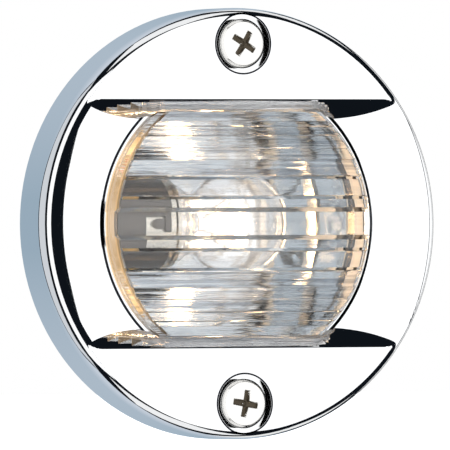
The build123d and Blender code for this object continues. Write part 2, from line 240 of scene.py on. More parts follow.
card = glow_card("cool_card", -179, 1.56, 3.40, (0.34, 0.44, 0.53), (0.60, 0.66, 0.74))
print(card.name, "stands", STUDIO_RADIUS, "m behind the light")

# %% [markdown]
# ### The floor
#
# A plain pale floor under the light. A real one would show in the chrome as a second horizon, so
# mirrors and clear pieces don't see this one.

# %% Floor
FLOOR_GAP = 0.4  # below the lowest point of the cover, so that nothing touches
FLOOR_HALF_SIDE = 900

floor = flat_square("floor", FLOOR_HALF_SIDE)
floor.location.z = (cover_low.z - FLOOR_GAP) * MM
floor.visible_glossy = False
floor.visible_transmission = False
material, tree, output = new_material("floor_white")
paint = tree.nodes.new("ShaderNodeBsdfPrincipled")
paint.inputs["Base Color"].default_value = (0.8, 0.8, 0.8, 1)
paint.inputs["Roughness"].default_value = 0.9
paint.inputs["Emission Color"].default_value = (1, 1, 1, 1)
paint.inputs["Emission Strength"].default_value = 1.0
tree.links.new(paint.outputs[0], output.inputs["Surface"])
floor.data.materials.append(material)
print("floor at z", round(floor.location.z / MM, 2), "mm")

# %% [markdown]
# ### The world
#
# The camera sees plain white behind the light. Everything else sees near black, so that the
# soft boxes alone draw the reflections. The Light Path node tells the two apart.

# %% World
world = bpy.data.worlds.new("studio")
bpy.context.scene.world = world
world.use_nodes = True
tree = world.node_tree
tree.nodes.clear()
sky_output = tree.nodes.new("ShaderNodeOutputWorld")
seen = tree.nodes.new("ShaderNodeBackground")
seen.inputs["Color"].default_value = (1, 1, 1, 1)
dark = tree.nodes.new("ShaderNodeBackground")
dark.inputs["Color"].default_value = (0.005, 0.007, 0.010, 1)
which = tree.nodes.new("ShaderNodeLightPath")
mix = tree.nodes.new("ShaderNodeMixShader")
tree.links.new(which.outputs["Is Camera Ray"], mix.inputs[0])
tree.links.new(dark.outputs[0], mix.inputs[1])
tree.links.new(seen.outputs[0], mix.inputs[2])
tree.links.new(mix.outputs[0], sky_output.inputs["Surface"])
bpy.context.scene.view_settings.view_transform = "Standard"
print("world", world.name, "with view transform", bpy.context.scene.view_settings.view_transform)

# %% [markdown]
# ## Shared effects
#
# Several finishes have the same fine marks. They could be built again in each material, but then
# a correction would have to be made in each. So an effect is one node group with named inputs,
# used with other values in each material. A group gives out masks and values only; the shader
# stays in the material.


# %% Node group helpers
def new_group(name, inputs, outputs):
    """An empty shader group with float inputs {name: default} and named float outputs."""
    group = bpy.data.node_groups.new(name, "ShaderNodeTree")
    for label, value in inputs.items():
        socket = group.interface.new_socket(label, in_out="INPUT", socket_type="NodeSocketFloat")
        socket.default_value = value
    for label in outputs:
        group.interface.new_socket(label, in_out="OUTPUT", socket_type="NodeSocketFloat")
    return group, group.nodes.new("NodeGroupInput"), group.nodes.new("NodeGroupOutput")


def math_node(tree, operation, first, second=0.0):
    """A Math node fed by sockets or plain numbers; returns its output socket."""
    node = tree.nodes.new("ShaderNodeMath")
    node.operation = operation
    for socket, value in zip(node.inputs, (first, second)):
        if isinstance(value, (int, float)):
            socket.default_value = value
        else:
            tree.links.new(value, socket)
    return node.outputs[0]


def own_place(tree):
    """X, Y and Z of the surface point in the object's own space, as sockets, in metres."""
    place = tree.nodes.new("ShaderNodeTexCoord")
    split = tree.nodes.new("ShaderNodeSeparateXYZ")
    tree.links.new(place.outputs["Object"], split.inputs[0])
    return split.outputs


def noise_node(tree, scale, detail, stretch=(1, 1, 1)):
    """Noise over the object's own coordinates; scale may be a socket or a number."""
    place = tree.nodes.new("ShaderNodeTexCoord")
    mapping = tree.nodes.new("ShaderNodeMapping")
    mapping.inputs["Scale"].default_value = stretch
    noise = tree.nodes.new("ShaderNodeTexNoise")
    noise.inputs["Detail"].default_value = detail
    tree.links.new(place.outputs["Object"], mapping.inputs["Vector"])
    tree.links.new(mapping.outputs[0], noise.inputs["Vector"])
    if isinstance(scale, (int, float)):
        noise.inputs["Scale"].default_value = scale
    else:
        tree.links.new(scale, noise.inputs["Scale"])
    return noise.outputs["Fac"]


# %% [markdown]
# ### Polish marks
#
# Plated and polished metal has hair-fine marks and faint cloudy patches. They are far too fine to
# model, so noise stands for both: a coarse one for the patches, and a fine one, stretched along
# one axis, for the marks. The group adds them to a base roughness, and gives the marks' height.

# %% Polish marks group
CLOUD_SCALE, HAIR_SCALE = 90, 700
HAIR_STRETCH = (1, 1, 14)

polish, given, result = new_group(
    "polish_marks", {"Base": 0.05, "Cloud": 0.03, "Marks": 0.02}, ["Roughness", "Height"]
)
cloud = noise_node(polish, CLOUD_SCALE, 3)
hair = noise_node(polish, HAIR_SCALE, 2, HAIR_STRETCH)
clouded = math_node(polish, "MULTIPLY", cloud, given.outputs["Cloud"])
marked = math_node(polish, "MULTIPLY", hair, given.outputs["Marks"])
both = math_node(polish, "ADD", clouded, marked)
rough = math_node(polish, "ADD", both, given.outputs["Base"])
polish.links.new(rough, result.inputs["Roughness"])
polish.links.new(hair, result.inputs["Height"])
print(polish.name, len(polish.nodes), "nodes")

# %% [markdown]
# ### Moulded skin
#
# Plastic and rubber carry the mould's fine texture. The group gives a height with large soft
# waves and small grain, and a roughness that follows the grain.

# %% Moulded skin group
WAVE_SCALE = 60

skin, given, result = new_group(
    "moulded_skin", {"Base": 0.4, "Spread": 0.1, "Grain": 900.0}, ["Roughness", "Height"]
)
wave = noise_node(skin, WAVE_SCALE, 2)
grain = noise_node(skin, given.outputs["Grain"], 4)
spread = math_node(skin, "MULTIPLY", grain, given.outputs["Spread"])
rough = math_node(skin, "ADD", spread, given.outputs["Base"])
skin.links.new(rough, result.inputs["Roughness"])
skin.links.new(math_node(skin, "ADD", wave, grain), result.inputs["Height"])
print(skin.name, len(skin.nodes), "nodes")

# %% [markdown]
# ### Pressed sheet
#
# The bright sheet in the cup is pressed thin, so it carries shallow dimples that break the
# lamp's reflection into crinkles. Voronoi cells with smooth walls have that shape.

# %% Dimples group
DIMPLE_SOFT_SCALE = 120
DIMPLE_CLOUD = 0.04

dimples, given, result = new_group(
    "dimples", {"Base": 0.05, "Size": 260.0}, ["Roughness", "Height"]
)
cells = dimples.nodes.new("ShaderNodeTexVoronoi")
cells.feature = "SMOOTH_F1"
place = dimples.nodes.new("ShaderNodeTexCoord")
dimples.links.new(place.outputs["Object"], cells.inputs["Vector"])
dimples.links.new(given.outputs["Size"], cells.inputs["Scale"])
soft = noise_node(dimples, DIMPLE_SOFT_SCALE, 2)
shallow = math_node(dimples, "MULTIPLY", soft, DIMPLE_CLOUD)
rough = math_node(dimples, "ADD", shallow, given.outputs["Base"])
dimples.links.new(rough, result.inputs["Roughness"])
relief = math_node(dimples, "ADD", cells.outputs["Distance"], soft)
dimples.links.new(relief, result.inputs["Height"])
print(dimples.name, len(dimples.nodes), "nodes")

# %% [markdown]
# ## Finishes
#
# Every finish here is a Principled shader that takes its roughness, and sometimes a bump, from
# one of the groups. Numbers that are the same all over a surface go straight on the shader.


# %% Finish helper
BUMP_STRENGTH = 0.5


def finish(name, colour, effect, values, bump=0.0, **sockets):
    """A Principled material whose roughness and bump come from one of the shared groups."""
    material, tree, output = new_material(name)
    shader = tree.nodes.new("ShaderNodeBsdfPrincipled")
    shader.inputs["Base Color"].default_value = (*colour, 1)
    for label, value in sockets.items():
        shader.inputs[label.replace("_", " ")].default_value = value
    group = tree.nodes.new("ShaderNodeGroup")
    group.node_tree = effect
    for label, value in values.items():
        group.inputs[label].default_value = value
    tree.links.new(group.outputs["Roughness"], shader.inputs["Roughness"])
    if bump:
        bumps = tree.nodes.new("ShaderNodeBump")
        bumps.inputs["Strength"].default_value = BUMP_STRENGTH
        bumps.inputs["Distance"].default_value = bump * MM
        tree.links.new(group.outputs["Height"], bumps.inputs["Height"])
        tree.links.new(bumps.outputs[0], shader.inputs["Normal"])
    tree.links.new(shader.outputs[0], output.inputs["Surface"])
    return material


def tree_and_shader(material):
    """A material's node tree and its Principled shader."""
    tree = material.node_tree
    return tree, next(n for n in tree.nodes if n.type == "BSDF_PRINCIPLED")


def metal(name, colour, base, cloud, marks, bump=0.0):
    """A plated or bare metal with polish marks."""
    values = {"Base": base, "Cloud": cloud, "Marks": marks}
    return finish(name, colour, polish, values, bump, Metallic=1.0)


def plastic(name, colour, base, spread, grain, bump=0.0):
    """A moulded plastic or rubber with the mould's grain."""
    values = {"Base": base, "Spread": spread, "Grain": grain}
    return finish(name, colour, skin, values, bump)


# %% [markdown]
# ### Metals
#
# The cover is chromed to a mirror, with only a breath of cloudiness. The screws are stainless and
# a little duller, the studs, rivets and contact tips are bare brass, and the bulb's base is
# nickelled. They differ in colour, roughness and how marked they are. The socket's nickel is
# nearly black. The bright sheet behind the bulb gets dimples in place of polish marks, because
# its shape breaks up the light more than its surface does.

# %% Metals
chrome = metal("chrome_plate", (0.90, 0.91, 0.92), 0.012, 0.02, 0.01)
darkened = metal("darkened_nickel", (0.15, 0.14, 0.13), 0.12, 0.12, 0.1, bump=0.01)
nickel = metal("nickel_brass", (0.74, 0.71, 0.64), 0.16, 0.12, 0.1, bump=0.01)
bright_sheet = finish(
    "bright_reflector", (0.56, 0.60, 0.63), dimples, {"Base": 0.05, "Size": 260.0},
    bump=0.24, Metallic=1.0,
)
brass = metal("brass", (0.76, 0.56, 0.27), 0.2, 0.2, 0.1, bump=0.01)
stainless = metal("stainless", (0.86, 0.85, 0.83), 0.1, 0.1, 0.08, bump=0.01)
solder = metal("solder", (0.55, 0.55, 0.56), 0.35, 0.25, 0.1, bump=0.03)
tinned = metal("tinned_copper", (0.72, 0.70, 0.68), 0.28, 0.2, 0.1, bump=0.01)
spring_wire = metal("spring_steel", (0.5, 0.5, 0.52), 0.25, 0.1, 0.2)
metals = (chrome, darkened, nickel, bright_sheet, brass, stainless, solder, tinned, spring_wire)
print("metals:", ", ".join(m.name for m in metals))

# %% [markdown]
# ### Plastics and rubber
#
# The cup is a glossy white moulding, the seals are dull black rubber and the contact board is
# brown fibre. The same grain suits all of them: fine and rough on rubber and fibre, and hardly
# there on the bulb's insulator, which is black glass, poured smooth.

# %% Plastics and rubber
white_plastic = plastic("white_plastic", (0.80, 0.80, 0.78), 0.25, 0.15, 900.0, bump=0.02)
rubber = plastic("rubber_seal", (0.025, 0.025, 0.027), 0.6, 0.3, 1600.0, bump=0.05)
fibre = plastic("fibre_board", (0.17, 0.09, 0.05), 0.6, 0.3, 2200.0, bump=0.05)
insulator = plastic("insulator_black", (0.012, 0.012, 0.015), 0.08, 0.1, 500.0)
red_pvc = plastic("red_pvc", (0.30, 0.015, 0.012), 0.35, 0.2, 1500.0, bump=0.02)
black_pvc = plastic("black_pvc", (0.02, 0.02, 0.02), 0.35, 0.2, 1500.0, bump=0.02)
plastics = (white_plastic, rubber, fibre, insulator, red_pvc, black_pvc)
print("plastics:", ", ".join(m.name for m in plastics))

# %% [markdown]
# ### Light that the clear parts carry
#
# A clear moulding pipes lamp light to its side wall, which then glows. The globe scatters a
# little of it too. To trace that light takes very many samples, so both get a faint glow of their
# own. Where a finish changes in a ring round the light's middle or round a screw, this group
# gives the mask. Heights count the same above and below the middle.


# %% Ring mask group
ring_mask, given, result = new_group(
    "ring_mask", {"Centre Z": 0.0, "Inner": 0.02, "Outer": 0.03}, ["Mask"]
)
place = own_place(ring_mask)
height = math_node(ring_mask, "ABSOLUTE", place["Z"])
height = math_node(ring_mask, "SUBTRACT", height, given.outputs["Centre Z"])
across_squared = math_node(ring_mask, "POWER", place["X"], 2.0)
height_squared = math_node(ring_mask, "POWER", height, 2.0)
radius = math_node(ring_mask, "SQRT", math_node(ring_mask, "ADD", across_squared, height_squared))
past = math_node(ring_mask, "GREATER_THAN", radius, given.outputs["Inner"])
before = math_node(ring_mask, "LESS_THAN", radius, given.outputs["Outer"])
ring_mask.links.new(math_node(ring_mask, "MULTIPLY", past, before), result.inputs["Mask"])
print(ring_mask.name, len(ring_mask.nodes), "nodes")

# %% [markdown]
# ### Mould lines
#
# The prisms of a small lens are never quite flat. Fine lines run along them, and the light they
# bend shows as streaks, most in the two outer groups. The noise is stretched along X for that.
# The strongest lines also darken the clear plastic's colour a little: a painted shade for the
# dark that the steep prism faces bend into view.

# %% Mould lines and their painted shade
STREAK_SCALE = 1500
STREAK_STRETCH = (0.02, 0.3, 1)
STREAK_SHADE_FROM, STREAK_SHADE_CONTRAST = 0.53, 9.0

mould_lines_and_painted_shade, given, result = new_group(
    "mould_lines_and_painted_shade", {"From": 0.0085, "Inside": 0.2}, ["Height", "Shade"]
)
streaks = noise_node(mould_lines_and_painted_shade, STREAK_SCALE, 3, STREAK_STRETCH)
far = math_node(mould_lines_and_painted_shade, "ABSOLUTE", own_place(mould_lines_and_painted_shade)["Z"])
outside = math_node(mould_lines_and_painted_shade, "GREATER_THAN", far, given.outputs["From"])
share = math_node(mould_lines_and_painted_shade, "MAXIMUM", outside, given.outputs["Inside"])
lines_height = math_node(mould_lines_and_painted_shade, "MULTIPLY", streaks, share)
mould_lines_and_painted_shade.links.new(lines_height, result.inputs["Height"])
in_painted_shade = math_node(mould_lines_and_painted_shade, "SUBTRACT", streaks, STREAK_SHADE_FROM)
in_painted_shade = math_node(mould_lines_and_painted_shade, "MULTIPLY", in_painted_shade, STREAK_SHADE_CONTRAST)
in_painted_shade = math_node(mould_lines_and_painted_shade, "MINIMUM", math_node(mould_lines_and_painted_shade, "MAXIMUM", in_painted_shade, 0.0), 1.0)
mould_lines_and_painted_shade.links.new(math_node(mould_lines_and_painted_shade, "MULTIPLY", in_painted_shade, share), result.inputs["Shade"])
print(mould_lines_and_painted_shade.name, len(mould_lines_and_painted_shade.nodes), "nodes")

# %% [markdown]
# ### The clear lens
#
# Clear acrylic, which bends light by 1.49. Its border glows warm on the side of the bulb's base,
# and hardly on the other. The glow fades towards the channel walls, because the chrome there
# mirrors it. Clear pieces would also throw dark shadows in a path tracer, as light through them
# is never found, so shadow rays pass straight through.


# %% Helpers for clear materials
CLEAR_SHADOW = (0.93, 0.93, 0.93, 1)


def ring_value(tree, centre_z, inner, outer):
    """The ring mask as a socket. Sizes are in millimetres."""
    group = tree.nodes.new("ShaderNodeGroup")
    group.node_tree = ring_mask
    group.inputs["Centre Z"].default_value = centre_z * MM
    group.inputs["Inner"].default_value = inner * MM
    group.inputs["Outer"].default_value = outer * MM
    return group.outputs["Mask"]


def two_colours(tree, mask, without, within):
    """A colour that goes from one to the other with a mask, as a socket."""
    mix = tree.nodes.new("ShaderNodeMix")
    mix.data_type = "RGBA"
    factor, first, second, colour = mix.inputs[0], mix.inputs[6], mix.inputs[7], mix.outputs[2]
    first.default_value = (*without, 1)
    second.default_value = (*within, 1)
    tree.links.new(mask, factor)
    return colour


def clear(name, spread, grain, ior):
    """A clear plastic or glass, smooth but for a trace of the mould's skin."""
    values = {"Base": 0.0, "Spread": spread, "Grain": grain}
    return finish(name, (1.0, 1.0, 1.0), skin, values, Transmission_Weight=1.0, IOR=ior)


def let_light_through(material):
    """Clear material that doesn't block lamps: shadow rays pass as if it weren't there."""
    tree, shader = tree_and_shader(material)
    output = next(n for n in tree.nodes if n.type == "OUTPUT_MATERIAL")
    path = tree.nodes.new("ShaderNodeLightPath")
    pass_through = tree.nodes.new("ShaderNodeBsdfTransparent")
    pass_through.inputs["Color"].default_value = CLEAR_SHADOW
    choose = tree.nodes.new("ShaderNodeMixShader")
    tree.links.new(path.outputs["Is Shadow Ray"], choose.inputs[0])
    tree.links.new(shader.outputs[0], choose.inputs[1])
    tree.links.new(pass_through.outputs[0], choose.inputs[2])
    tree.links.new(choose.outputs[0], output.inputs["Surface"])


# %% Clear lens: the lit border
BORDER_WIDTH = 0.95
WARM_GLOW = (0.52, 0.34, 0.17)
FAR_SIDE_SHARE = 0.16  # of the glow, on the side away from the bulb's base
FADE_END, FADE_LENGTH, FADE_LEAST = 19.0, 7.0, 0.12
VALLEY_DEPTH, PRISM_END_SHARE = 1.2, 0.45  # the prisms' ends glow less than the wall below them

clear_lens = clear("clear_lens", 0.02, 300.0, 1.49)
tree, shader = tree_and_shader(clear_lens)
shader.inputs["Emission Strength"].default_value = 1.0
lit = ring_value(tree, 0.0, rib_end_r - 0.1, rib_end_r + BORDER_WIDTH)
place = own_place(tree)
base_side = math_node(tree, "LESS_THAN", place["X"], 0.0)
lit = math_node(tree, "MULTIPLY", lit, math_node(tree, "MAXIMUM", base_side, FAR_SIDE_SHARE))
to_end = math_node(tree, "SUBTRACT", FADE_END * MM, math_node(tree, "ABSOLUTE", place["Z"]))
fade = math_node(tree, "MULTIPLY", to_end, 1 / (FADE_LENGTH * MM))
fade = math_node(tree, "MINIMUM", math_node(tree, "MAXIMUM", fade, FADE_LEAST), 1.0)
lit = math_node(tree, "MULTIPLY", lit, fade)
behind = math_node(tree, "GREATER_THAN", place["Y"], (lens_low.y + VALLEY_DEPTH) * MM)
lit = math_node(tree, "MULTIPLY", lit, math_node(tree, "MAXIMUM", behind, PRISM_END_SHARE))
tree.links.new(two_colours(tree, lit, (0, 0, 0), WARM_GLOW), shader.inputs["Emission Color"])
print("lens border glows from radius", round(rib_end_r - 0.1, 2), "mm")

# %% Clear lens: the mould lines and their painted shade
LINE_STRENGTH, LINE_DEPTH = 0.8, 0.16
PAINTED_STREAK_SHADE = (0.42, 0.45, 0.50)

lines = tree.nodes.new("ShaderNodeGroup")
lines.node_tree = mould_lines_and_painted_shade
bend = tree.nodes.new("ShaderNodeBump")
bend.inputs["Strength"].default_value = LINE_STRENGTH
bend.inputs["Distance"].default_value = LINE_DEPTH * MM
tree.links.new(lines.outputs["Height"], bend.inputs["Height"])
tree.links.new(bend.outputs[0], shader.inputs["Normal"])
# Painted shade: the strongest mould lines darken the base colour.
painted_streak_colour = two_colours(tree, lines.outputs["Shade"], (1, 1, 1), PAINTED_STREAK_SHADE)
tree.links.new(painted_streak_colour, shader.inputs["Base Color"])
let_light_through(clear_lens)
print(clear_lens.name, len(tree.nodes), "nodes")

# %% [markdown]
# ### The bulb's glass
#
# Thin soda glass. A lit globe looks milky in its middle and clear at its edge, where the wall is
# seen edge on. Layer Weight tells how face-on the wall is, and its value drives a weak glow. The
# stem that holds the filament is the same glass without the haze.

# %% Bulb glass
HAZE_POWER = 2.6
HAZE_EDGE, HAZE_MIDDLE = (0.006, 0.003, 0.002), (0.16, 0.152, 0.142)

bulb_glass = clear("bulb_glass", 0.02, 200.0, 1.5)
tree, shader = tree_and_shader(bulb_glass)
edge_on = tree.nodes.new("ShaderNodeLayerWeight")
edge_on.inputs["Blend"].default_value = 0.5
face_on = math_node(tree, "SUBTRACT", 1.0, edge_on.outputs["Facing"])
haze = math_node(tree, "POWER", face_on, HAZE_POWER)
milk = two_colours(tree, haze, HAZE_EDGE, HAZE_MIDDLE)
tree.links.new(milk, shader.inputs["Emission Color"])
shader.inputs["Emission Strength"].default_value = 1.0
let_light_through(bulb_glass)

stem_glass = clear("stem_glass", 0.05, 200.0, 1.5)
let_light_through(stem_glass)
print(bulb_glass.name, "and", stem_glass.name)

# %% [markdown]
# ## Pieces that a plain solid is too simple for
#
# A maker cuts threads and cross recesses with tools, and boolean cuts could do the same here. But
# they leave ragged meshes on such small helical shapes, so these are height fields. A thread is a
# cylinder whose radius follows the turn, and a screw's face is a dome with the recess sunk in it.


# %% Rows of points into faces
def grid_faces(rows, columns):
    """Quads between the rows of a grid of points whose last column joins the first."""
    faces = []
    for i in range(rows - 1):
        low_row, high_row = i * columns, (i + 1) * columns
        for j in range(columns):
            k = (j + 1) % columns
            faces.append((low_row + j, low_row + k, high_row + k, high_row + j))
    return faces


def ring_points(centre, radius, y, around):
    """Points of a circle round an axis along Y; centre is its X and Z."""
    points = []
    for j in range(around):
        angle = 2 * math.pi * j / around
        x = centre[0] + radius * math.cos(angle)
        points.append((x, y, centre[1] + radius * math.sin(angle)))
    return points


def joined(name, *pieces):
    """Several mesh objects as one."""
    mesh = bpy.data.meshes.new(name)
    bm = bmesh.new()
    for piece in pieces:
        bm.from_mesh(piece.data)
    bmesh.ops.recalc_face_normals(bm, faces=bm.faces)
    bm.to_mesh(mesh)
    bm.free()
    for piece in pieces:
        bpy.data.objects.remove(piece)
    whole = bpy.data.objects.new(name, mesh)
    bpy.context.scene.collection.objects.link(whole)
    return whole


# %% Threads
ROWS_PER_TURN, ROD_AROUND = 8, 40
FLANK_SLOPE, ROOT_FLAT = 1.3, 0.15


def tooth(phase):
    """Height of a thread's flank from 0 at its root to 1 at its crest, with small flats."""
    fold = abs((phase % 1.0) * 2 - 1)
    return min(max(fold * FLANK_SLOPE - ROOT_FLAT, 0.0), 1.0)


def threaded_rod(name, centre, y0, y1, root, crest, pitch, point=0.0):
    """A rod along Y with a helical thread. Its last `point` millimetres narrow to a tip."""
    rows = max(int((y1 - y0) / pitch * ROWS_PER_TURN), ROWS_PER_TURN)
    vertices = []
    for i in range(rows + 1):
        y = y0 + (y1 - y0) * i / rows
        narrow = min(1.0, (y1 - y) / point + 0.04) if point else 1.0
        run_in = min(1.0, (y - y0) / pitch, (y1 - y) / (0.5 * pitch) + 0.01)
        for j in range(ROD_AROUND):
            turn = j / ROD_AROUND
            radius = (root + (crest - root) * run_in * tooth(y / pitch - turn)) * narrow
            angle = 2 * math.pi * turn
            x = centre[0] + radius * math.cos(angle)
            vertices.append((x, y, centre[1] + radius * math.sin(angle)))
    faces = grid_faces(rows + 1, ROD_AROUND)
    faces.append(tuple(range(ROD_AROUND)))
    faces.append(tuple(range(rows * ROD_AROUND, (rows + 1) * ROD_AROUND))[::-1])
    return new_mesh(name, vertices, faces)


print("a thread has", ROWS_PER_TURN * ROD_AROUND, "points in each turn")

# %% [markdown]
# ### The two mounting screws
#
# Oval-head screws: a countersunk cone, a narrow chamfered rim, a low dome and a cross recess.
# The recess gets a darker, duller finish of its own: a painted shade for the shade that falls in
# it. The two crosses stand at different angles, as screws do once they are driven home.

# %% Recess finish with painted shade
recess_values = {"Base": 0.30, "Cloud": 0.3, "Marks": 0.2}
recess_painted_shade = finish(
    "recess_painted_shade", (0.095, 0.075, 0.05), polish, recess_values, bump=0.05, Metallic=0.6
)
print(recess_painted_shade.name)


# %% Cross recess
WING_HALF_WIDTH, WING_TAPER, WING_SLOPE = 0.60, 0.04, 0.10
WING_LENGTH, END_SLOPE = 2.40, 0.16
RECESS_DEPTH, RECESS_RISE = 1.15, 0.22
PILOT_RADIUS, PILOT_DEPTH = 0.5, 0.35


def recess_depth(x, z, cross):
    """Depth of a cross recess below the head's dome, for a cross turned by so many degrees."""
    turn = math.radians(cross)
    u = abs(x * math.cos(turn) + z * math.sin(turn))
    v = abs(-x * math.sin(turn) + z * math.cos(turn))
    along, across = max(u, v), min(u, v)
    side = (WING_HALF_WIDTH - WING_TAPER * along - across) / WING_SLOPE
    end = (WING_LENGTH - along) / END_SLOPE
    inside = min(max(min(side, end), 0.0), 1.0)
    pilot = PILOT_DEPTH if math.hypot(x, z) < PILOT_RADIUS else 0.0
    return inside * (RECESS_DEPTH - RECESS_RISE * along + pilot)


# %% Screw head
HEAD_AROUND, HEAD_RINGS = 120, 65
RIM_WIDTH, DOME_FALL = 0.55, 0.42


def screw_head(name, centre, top, radius, seat, neck, cross):
    """The head: dome with its recess, chamfered rim, and the cone down to the neck."""
    inner = radius - RIM_WIDTH
    vertices, depths = [], []
    for i in range(1, HEAD_RINGS + 1):
        r = inner * i / HEAD_RINGS
        for j in range(HEAD_AROUND):
            angle = 2 * math.pi * j / HEAD_AROUND
            x, z = r * math.cos(angle), r * math.sin(angle)
            level = top - DOME_FALL * (r / inner) ** 2
            depth = recess_depth(x, z, cross)
            vertices.append((centre[0] + x, -(level - depth), centre[1] + z))
            depths.append(depth)
    # Radius and level of each ring from the rim down to the neck.
    rim = [
        (inner + 0.12, top - 0.55), (radius - 0.10, top - 0.95), (radius, top - 1.10),
        (radius, top - 1.35), (radius - 0.08, top - 1.45), (neck, seat + 0.05), (neck, 0.0),
    ]
    for r, level in rim:
        vertices += ring_points(centre, r, -level, HEAD_AROUND)
    faces = grid_faces(HEAD_RINGS + len(rim), HEAD_AROUND)
    middle = len(vertices)
    vertices.append((centre[0], -(top - recess_depth(0, 0, cross)), centre[1]))
    faces += [(middle, (j + 1) % HEAD_AROUND, j) for j in range(HEAD_AROUND)]
    return new_mesh(name, vertices, faces), depths


# %% Mounting screws
HEAD_CLEARANCE, HEAD_HEIGHT, NECK_RADIUS = 0.02, 3.0, 1.70
SHANK_FROM, SHANK_ROOT, SHANK_CREST, SHANK_PITCH, SHANK_POINT = 0.4, 1.45, 2.08, 1.5, 3.4
# Deeper than this, the recess takes its painted shade.
RECESS_SHADE_FROM = 0.10  # the recess is dark where it is deeper than this
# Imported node, body, and the turn of the cross in degrees.
SCREWS = (("screw_top", "top_screw", -32), ("screw_bottom", "bottom_screw", -10))


def mounting_screw(node, body, cross):
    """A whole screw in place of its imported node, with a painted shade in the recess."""
    low, high = low_high(node)
    centre = ((low.x + high.x) / 2, (low.z + high.z) / 2)
    radius = (high.x - low.x) / 2 - HEAD_CLEARANCE
    top = -low.y
    head, depths = screw_head(
        node + "_head", centre, top, radius, top - HEAD_HEIGHT, NECK_RADIUS, cross
    )
    shank = threaded_rod(
        node + "_shank", centre, SHANK_FROM, high.y,
        SHANK_ROOT, SHANK_CREST, SHANK_PITCH, point=SHANK_POINT,
    )
    piece = joined(node + "_seen", head, shank)
    piece.data.materials.append(stainless)
    piece.data.materials.append(recess_painted_shade)
    for face in piece.data.polygons:
        indices = [i for i in face.vertices if i < len(depths)]
        in_painted_shade = len(indices) > 2 and min(depths[i] for i in indices) > RECESS_SHADE_FROM
        face.material_index = 1 if in_painted_shade else 0
        face.use_smooth = True
    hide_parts(node)
    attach(piece, body)
    return piece


for node, body, cross in SCREWS:
    piece = mounting_screw(node, body, cross)
    print(piece.name, len(piece.data.polygons), "faces")

# %% [markdown]
# ### Terminal studs
#
# Brass studs moulded into the cup, threaded where the nuts go. The thread is fine: 0.7 mm. Each
# has a flat round head inside the cup, drawn as rings of points from its middle to the rod.

# %% Terminal studs
STUD_ROOT, STUD_CREST, STUD_PITCH = 1.45, 1.72, 0.7
STUD_HEAD_RADIUS, STUD_HEAD_AROUND = 3.0, 40
ROD_FROM = 2.2  # the rod starts inside the head's collar

low, high = low_high("terminal_studs")
# Radius and height above the stud's lowest point.
stud_head = [(0.02, 0.02), (2.6, 0.02), (2.98, 0.35), (2.98, 1.68), (1.58, 1.70), (1.58, 2.4)]
parts = []
for side in (-1, 1):
    centre = ((low.x + high.x) / 2, side * (high.z - STUD_HEAD_RADIUS))
    rod_low = low.y + ROD_FROM
    rod = threaded_rod("stud", centre, rod_low, high.y, STUD_ROOT, STUD_CREST, STUD_PITCH)
    points = []
    for r, y in stud_head:
        points += ring_points(centre, r, low.y + y, STUD_HEAD_AROUND)
    head = new_mesh("stud_head", points, grid_faces(len(stud_head), STUD_HEAD_AROUND))
    parts += [rod, head]
studs = joined("terminal_studs_seen", *parts)
studs.data.materials.append(brass)
studs.data.polygons.foreach_set("use_smooth", [True] * len(studs.data.polygons))
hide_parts("terminal_studs")
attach(studs, "housing")
print("studs", len(studs.data.polygons), "faces")

# %% [markdown]
# ### The filament
#
# A coil of tungsten between its two supports. When lit it is by far the brightest thing in view.
# A curve with a bevel could make it, but a mesh tube gives a plain mesh with ends that close, so
# the coil's points are worked out and a tube is laid along them.


# %% A tube along a path
def tube(name, path, radius, around):
    """A round wire along a list of points in millimetres."""
    points = [Vector(p) for p in path]
    vertices = []
    side = Vector((0, 0, 1))
    for i, point in enumerate(points):
        ahead = points[min(i + 1, len(points) - 1)] - points[max(i - 1, 0)]
        ahead.normalize()
        side = side - ahead * side.dot(ahead)
        if side.length < 1e-4:
            side = ahead.orthogonal()
        side.normalize()
        other = ahead.cross(side)
        for j in range(around):
            angle = 2 * math.pi * j / around
            vertices.append(point + (side * math.cos(angle) + other * math.sin(angle)) * radius)
    faces = grid_faces(len(points), around)
    faces.append(tuple(range(around))[::-1])
    faces.append(tuple(range((len(points) - 1) * around, len(points) * around)))
    return new_mesh(name, vertices, faces)


# %% Filament
TURNS, STEPS = 14, 14
WIRE_RADIUS = 0.06
COIL_INSET = 0.07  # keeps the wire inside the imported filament
END_GAP = 0.08
HOT_COLOUR, HOT_RADIANCE = (1.0, 0.80, 0.52, 1), 90.0

low, high = low_high("filament")
middle = (low + high) / 2
size = high - low
along = max(range(3), key=lambda k: size[k])
first, second = [k for k in range(3) if k != along]
coil_r = min(size[first], size[second]) / 2 - COIL_INSET
path = []
for i in range(TURNS * STEPS + 1):
    t = i / (TURNS * STEPS)
    angle = 2 * math.pi * TURNS * t
    spot = [0.0, 0.0, 0.0]
    spot[along] = low[along] + END_GAP + (size[along] - 2 * END_GAP) * t
    spot[first] = middle[first] + coil_r * math.cos(angle)
    spot[second] = middle[second] + coil_r * math.sin(angle)
    path.append(spot)
coil = tube("filament_seen", path, WIRE_RADIUS, 8)
hot, tree, output = new_material("tungsten_hot")
heat = tree.nodes.new("ShaderNodeEmission")
heat.inputs["Color"].default_value = HOT_COLOUR
heat.inputs["Strength"].default_value = HOT_RADIANCE
tree.links.new(heat.outputs[0], output.inputs["Surface"])
coil.data.materials.append(hot)
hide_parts("filament")
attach(coil, "bulb")
print("filament along", "XYZ"[along], "with coil radius", round(coil_r, 2), "mm")

# %% [markdown]
# ### The light of the filament
#
# The thin wire alone would light the cup with a lot of noise, because few rays find it. So a
# small warm lamp sits at its place. It rides on the bulb, so it moves as the bulb does.

# %% Filament lamp
GLOW_WATTS = 0.022
GLOW_COLOUR = (1.0, 0.56, 0.24)
GLOW_RADIUS = 2.2

